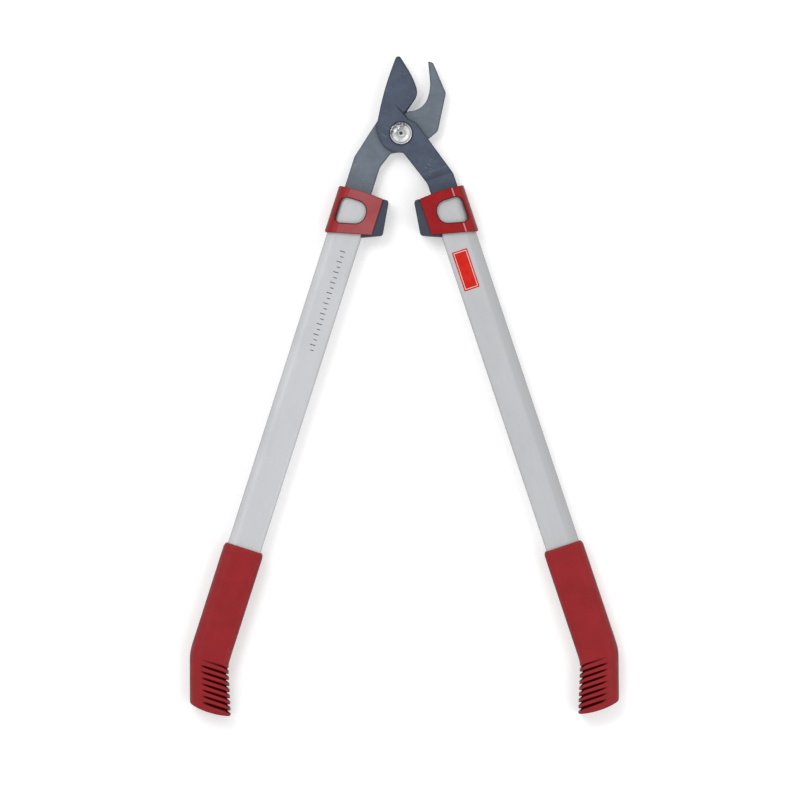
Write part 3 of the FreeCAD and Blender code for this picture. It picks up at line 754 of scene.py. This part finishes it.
def closed_band(name, side, rings, material):
    """A closed band skinned through loops of points, the last of which joins the first."""
    bm = bmesh.new()
    matrix = handle_matrix(side)
    rows = [[bm.verts.new(matrix @ Vector(point)) for point in ring] for ring in rings]
    for first, second in zip(rows, rows[1:] + rows[:1]):
        skin(bm, first, second)
    piece = new_piece(name, bm, material, BODY_OF_SIDE[side])
    piece.data.shade_flat()


def rectangle(x_low, x_high, y_low, y_high):
    return [(x_low, y_low), (x_high, y_low), (x_high, y_high), (x_low, y_high)]


PRINT_RISE = 0.04
BORDER_INSET = 1.2
BORDER_WIDTH = 0.6


def make_label_print():
    """A plain pale border line printed just inside the edge of the label."""
    rings = []
    bottom, top = LABEL_HIGH.z - 0.01, LABEL_HIGH.z + PRINT_RISE
    inner_inset = BORDER_INSET + BORDER_WIDTH
    for inset, z in ((BORDER_INSET, bottom), (BORDER_INSET, top), (inner_inset, top), (inner_inset, bottom)):
        outline = rectangle(LABEL_LOW.x + inset, LABEL_HIGH.x - inset,
                            LABEL_LOW.y + inset, LABEL_HIGH.y - inset)
        rings.append([(x, y, z) for x, y in outline])
    closed_band("right_label_print", "right", rings, "print_pale")


TICK_FIRST_Y = -120.0
TICK_PITCH = 5.0
TICK_COUNT = 20
TICK_X = 15.5
TICK_LENGTHS = (5.0, 3.2)
TICK_HALF_WIDTH = 0.35


def make_tube_print():
    """An even row of plain ticks on the left tube, long and short in turn."""
    shapes = []
    for index in range(TICK_COUNT):
        y = TICK_FIRST_Y - index * TICK_PITCH
        end_x = TICK_X + TICK_LENGTHS[index % 2]
        shapes.append(rectangle(TICK_X, end_x, y - TICK_HALF_WIDTH, y + TICK_HALF_WIDTH))
    print_flat("left_tube_print", "left", shapes, TUBE_HIGH.z - 0.02, TUBE_HIGH.z + PRINT_RISE, "print_grey")


# The painted shade round each collar's window, as a thin dark line

WINDOW_CORNERS = ((33.5, -71.4, 6.0), (8.3, -71.4, 9.3), (8.3, -90.3, 9.6), (33.5, -96.8, 4.3))
WINDOW_RIM_HEIGHT = 10.5
WINDOW_LINE_WIDTH = 0.85
WINDOW_LINE_SUNK = -0.3
WINDOW_LINE_RISE = 0.05


def rounded_outline(corners, steps=10):
    """Points round a polygon of rounded corners (x, y, radius), each with its outward direction."""
    count = len(corners)
    points = []
    for index, (x, y, radius) in enumerate(corners):
        corner = Vector((x, y))
        to_last = (Vector(corners[index - 1][:2]) - corner).normalized()
        to_next = (Vector(corners[(index + 1) % count][:2]) - corner).normalized()
        half_angle = to_last.angle(to_next) / 2
        centre = corner + (to_last + to_next).normalized() * radius / math.sin(half_angle)
        tangent = radius / math.tan(half_angle)
        start = corner + to_last * tangent - centre
        end = corner + to_next * tangent - centre
        for step in range(steps + 1):
            outward = start.lerp(end, step / steps).normalized()
            points.append((centre + outward * radius, outward))
    return points


def collar_face_height(x):
    """Height of a collar's face, or of the rim round its window where that stands higher."""
    crease_x = COLLAR_HIGH.x - COLLAR_HIGH.z
    beyond = max(0.0, x - crease_x)
    return max(math.sqrt(COLLAR_HIGH.z ** 2 - beyond ** 2), WINDOW_RIM_HEIGHT)


def make_window_shade(side):
    """A thin dark band that follows the edge of the window: painted shade where the window's edge falls away.
    """
    rings = []
    low, high, width = WINDOW_LINE_SUNK, WINDOW_LINE_RISE, WINDOW_LINE_WIDTH
    for distance, rise in ((0.0, low), (0.0, high), (width, high), (width, low)):
        outline = [point + outward * distance for point, outward in rounded_outline(WINDOW_CORNERS)]
        rings.append([(x, y, collar_face_height(x) + rise) for x, y in outline])
    closed_band(side + "_window_shade_line", side, rings, "window_shade_line")


# The pieces

def repaint(node, material):
    """Gives a CAD node that stays in view its finished material."""
    node_object = frame["nodes"][node]
    for index in range(len(node_object.material_slots)):
        node_object.material_slots[index].link = "OBJECT"
        node_object.material_slots[index].material = MATERIALS[material]


def make_handles():
    """Both handles, from the collars to the grips."""
    for side in SIDES:
        body = BODY_OF_SIDE[side]
        repaint(side + "_tube", side + "_tube")
        for part in ("tang_liner_front", "tang_liner_back", "grip_core"):
            repaint(side + "_" + part, "liner_plastic")
        repaint(side + "_tang_pins", "pin_steel")
        softened(side + "_collar", side + "_collar_shell", body, side + "_collar", 1.0)
        softened(side + "_buffer", side + "_buffer_pad", body, "buffer_rubber", 0.35)
        make_window_shade(side)
        make_grip(side)


def make_blades():
    """Both blades, with edges rounded to their full width even where faces are narrow."""
    softened("cutting_blade", "cutting_blade_steel", "blade_side", "blade_steel", 0.30,
             segments=3, angle=20, clamped=False)
    softened("hook_blade", "hook_blade_steel", "hook_side", "hook_steel", 0.85,
             segments=4, angle=20, clamped=False)


def make_pivot():
    """The bolt, its washers and its nut, all as in the CAD."""
    repaint("pivot_bolt", "bolt_zinc")
    for node in ("pivot_spring_washer", "pivot_lock_nut"):
        repaint(node, "bright_zinc")
    repaint("pivot_head_washer", "dark_washer")


make_handles()
make_blades()
make_pivot()
repaint("right_label", "label_vinyl")
make_label_print()
make_tube_print()


# Floor, light and camera

FLOOR_GAP = 0.0003


def make_floor():
    """A plain white floor just under the shears, with a little light of its own."""
    bm = bmesh.new()
    reach = 6.0
    corners = [(-reach, -reach), (reach, -reach), (reach, reach), (-reach, reach)]
    bm.faces.new([bm.verts.new((x, y, cad_low.z - FLOOR_GAP)) for x, y in corners])
    mesh = bpy.data.meshes.new("floor")
    bm.to_mesh(mesh)
    bm.free()
    floor = bpy.data.objects.new("floor", mesh)
    bpy.context.scene.collection.objects.link(floor)
    paint = Paint("floor_paint", (0.80, 0.80, 0.80), 0.7, specular=0.1)
    paint.set("Emission Color", (1.0, 1.0, 1.0, 1.0))
    paint.set("Emission Strength", 0.30)
    paint.drive("Roughness", paint.band(paint.noise(60, 2, 0.5), 0.3, 0.7, 0.65, 0.8))
    mesh.materials.append(paint.material)


SKY_STRENGTH = 0.95
SKY_STOPS = ((0.0, 0.45), (0.35, 0.85), (0.80, 1.0), (0.93, 0.45), (0.985, 0.20))


def make_sky():
    """White studio light from all round, with a darker opening overhead, where the camera is."""
    world = bpy.data.worlds.new("studio")
    bpy.context.scene.world = world
    world.use_nodes = True
    tree = world.node_tree
    background = tree.nodes["Background"]
    coordinates = tree.nodes.new("ShaderNodeTexCoord")
    parts = tree.nodes.new("ShaderNodeSeparateXYZ")
    tree.links.new(coordinates.outputs["Generated"], parts.inputs[0])
    rise = tree.nodes.new("ShaderNodeValToRGB")
    rise.color_ramp.interpolation = "EASE"
    stops = rise.color_ramp.elements
    stops[0].position, stops[1].position = SKY_STOPS[0][0], SKY_STOPS[-1][0]
    for position, _ in SKY_STOPS[1:-1]:
        stops.new(position)
    for stop, (_, grey) in zip(stops, SKY_STOPS):
        stop.color = (grey, grey, grey, 1.0)
    tree.links.new(parts.outputs["Z"], rise.inputs[0])
    tree.links.new(rise.outputs[0], background.inputs["Color"])
    background.inputs["Strength"].default_value = SKY_STRENGTH


def make_light(name, place, target, size, power):
    """A soft rectangular lamp that faces its target."""
    light = bpy.data.lights.new(name, "AREA")
    light.shape = "RECTANGLE"
    light.size, light.size_y = size
    light.energy = power
    lamp = bpy.data.objects.new(name, light)
    lamp.location = place
    lamp.rotation_mode = "QUATERNION"
    lamp.rotation_quaternion = (Vector(target) - Vector(place)).to_track_quat("-Z", "Y")
    bpy.context.scene.collection.objects.link(lamp)


CAMERA_DISTANCE = 6.0
CAMERA_VIEW_WIDTH = 0.736
CAMERA_FROM_PIVOT = (-0.0024, -0.2452, CAMERA_DISTANCE)
CAMERA_ROLL = math.radians(-0.35)


def make_camera():
    """Straight above the shears and far away, so that it shows next to none of their sides."""
    camera = bpy.data.cameras.new("camera")
    camera.sensor_width = 36.0
    camera.lens = camera.sensor_width * CAMERA_DISTANCE / CAMERA_VIEW_WIDTH
    camera.clip_start, camera.clip_end = 0.05, 50.0
    taker = bpy.data.objects.new("camera", camera)
    taker.location = PIVOT + Vector(CAMERA_FROM_PIVOT)
    taker.rotation_euler = (0, 0, CAMERA_ROLL)
    bpy.context.scene.collection.objects.link(taker)
    bpy.context.scene.camera = taker


make_floor()
make_sky()
make_light("key", (-0.9, 1.2, 2.2), (0, 0, 0), (1.4, 1.0), 22)
make_light("fill", (1.3, -0.8, 2.0), (0, 0, 0), (1.2, 1.2), 10)
make_camera()
bpy.context.scene.view_settings.view_transform = "Standard"
